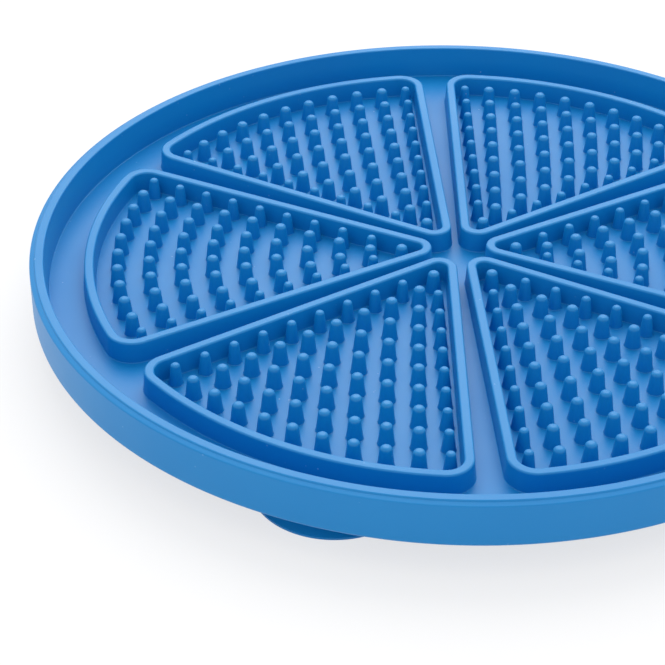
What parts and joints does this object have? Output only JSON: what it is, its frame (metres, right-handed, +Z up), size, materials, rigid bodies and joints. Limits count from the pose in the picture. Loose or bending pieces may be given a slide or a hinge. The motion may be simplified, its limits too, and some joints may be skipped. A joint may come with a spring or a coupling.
{
  "type": "lick mat",
  "caption": "Round silicone lick mat for pets: a shallow rimmed dish with wedge pockets of soft nubs, parted by channels, that grips a smooth surface with suction cups.",
  "frame": {"origin": "on the surface that the suction cups stand on, under the middle of the mat", "axes": "+Z up out of the dish; Y along the straight channel that crosses the mat between two pairs of pockets; X through the middles of the two pockets beside it"},
  "size_m": [0.24, 0.24, 0.0224],
  "materials": {
    "silicone": "satin"
  },
  "bodies": {
    "mat": {"base": "silicone", "rim": "silicone", "pocket_wall_1": "silicone", "pocket_wall_2": "silicone", "pocket_wall_3": "silicone", "pocket_wall_4": "silicone", "pocket_wall_5": "silicone", "pocket_wall_6": "silicone", "nub_pad_1": "silicone", "nub_pad_2": "silicone", "nub_pad_3": "silicone", "nub_pad_4": "silicone", "nub_pad_5": "silicone", "nub_pad_6": "silicone"},
    "cup_1": {"suction_cup_1": "silicone"},
    "cup_2": {"suction_cup_2": "silicone"},
    "cup_3": {"suction_cup_3": "silicone"},
    "cup_4": {"suction_cup_4": "silicone"}
  },
  "joints": [
    {"name": "cup_1_squash", "type": "slide", "parent": "mat", "child": "cup_1", "axis": [0, 0, 1], "range_m": [0, 0.004], "stiffness_N_per_m": 1000, "springref_m": -0.001, "deforming": ["suction_cup_1"]},
    {"name": "cup_2_squash", "type": "slide", "parent": "mat", "child": "cup_2", "axis": [0, 0, 1], "range_m": [0, 0.004], "stiffness_N_per_m": 1000, "springref_m": -0.001, "deforming": ["suction_cup_2"]},
    {"name": "cup_3_squash", "type": "slide", "parent": "mat", "child": "cup_3", "axis": [0, 0, 1], "range_m": [0, 0.004], "stiffness_N_per_m": 1000, "springref_m": -0.001, "deforming": ["suction_cup_3"]},
    {"name": "cup_4_squash", "type": "slide", "parent": "mat", "child": "cup_4", "axis": [0, 0, 1], "range_m": [0, 0.004], "stiffness_N_per_m": 1000, "springref_m": -0.001, "deforming": ["suction_cup_4"]}
  ]
}
